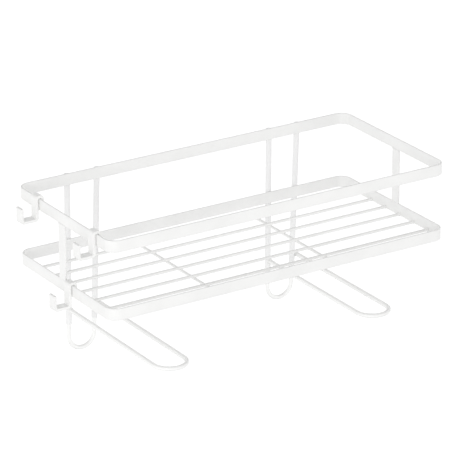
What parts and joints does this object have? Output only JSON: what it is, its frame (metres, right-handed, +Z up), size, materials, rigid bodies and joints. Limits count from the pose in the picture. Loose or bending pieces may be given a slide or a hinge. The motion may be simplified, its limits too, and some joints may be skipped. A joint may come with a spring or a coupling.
{
  "type": "over-ledge wire basket",
  "caption": "Long open-sided bathroom basket of flat bar and wire that stands on a ledge on looped feet, with rear drop loops and sliding side hooks.",
  "frame": {"origin": "on the ledge plane that the foot loops rest on, under the middle of the basket's plan", "axes": "+X along the basket's length to the right, +Y towards the wall behind (the posts' side), +Z up"},
  "size_m": [0.3997, 0.182, 0.1926],
  "materials": {
    "rail_coat": "satin powder coat",
    "shelf_wire_coat": "satin powder coat",
    "post_coat": "satin powder coat",
    "loop_coat": "satin powder coat",
    "hook_coat": "satin powder coat"
  },
  "bodies": {
    "basket": {"upper_rail": "rail_coat", "lower_rail": "rail_coat", "left_strap": "rail_coat", "right_strap": "rail_coat", "shelf_wire_1": "shelf_wire_coat", "shelf_wire_2": "shelf_wire_coat", "shelf_wire_3": "shelf_wire_coat", "shelf_wire_4": "shelf_wire_coat", "shelf_wire_5": "shelf_wire_coat", "shelf_wire_6": "shelf_wire_coat", "left_cross_wire": "shelf_wire_coat", "right_cross_wire": "shelf_wire_coat", "left_outer_post": "post_coat", "left_inner_post": "post_coat", "right_inner_post": "post_coat", "right_outer_post": "post_coat", "left_drop_loop": "loop_coat", "right_drop_loop": "loop_coat", "left_foot_loop": "loop_coat", "right_foot_loop": "loop_coat"},
    "upper_rear_hook": {"upper_rear_hook": "hook_coat"},
    "upper_front_hook": {"upper_front_hook": "hook_coat"},
    "lower_hook": {"lower_hook": "hook_coat"}
  },
  "joints": [
    {"name": "upper_rear_hook_slide", "type": "slide", "parent": "basket", "child": "upper_rear_hook", "axis": [0, 1, 0], "range_m": [-0.04, 0.02]},
    {"name": "upper_front_hook_slide", "type": "slide", "parent": "basket", "child": "upper_front_hook", "axis": [0, 1, 0], "range_m": [-0.012, 0.054]},
    {"name": "lower_hook_slide", "type": "slide", "parent": "basket", "child": "lower_hook", "axis": [0, 1, 0], "range_m": [-0.058, 0.002]}
  ]
}
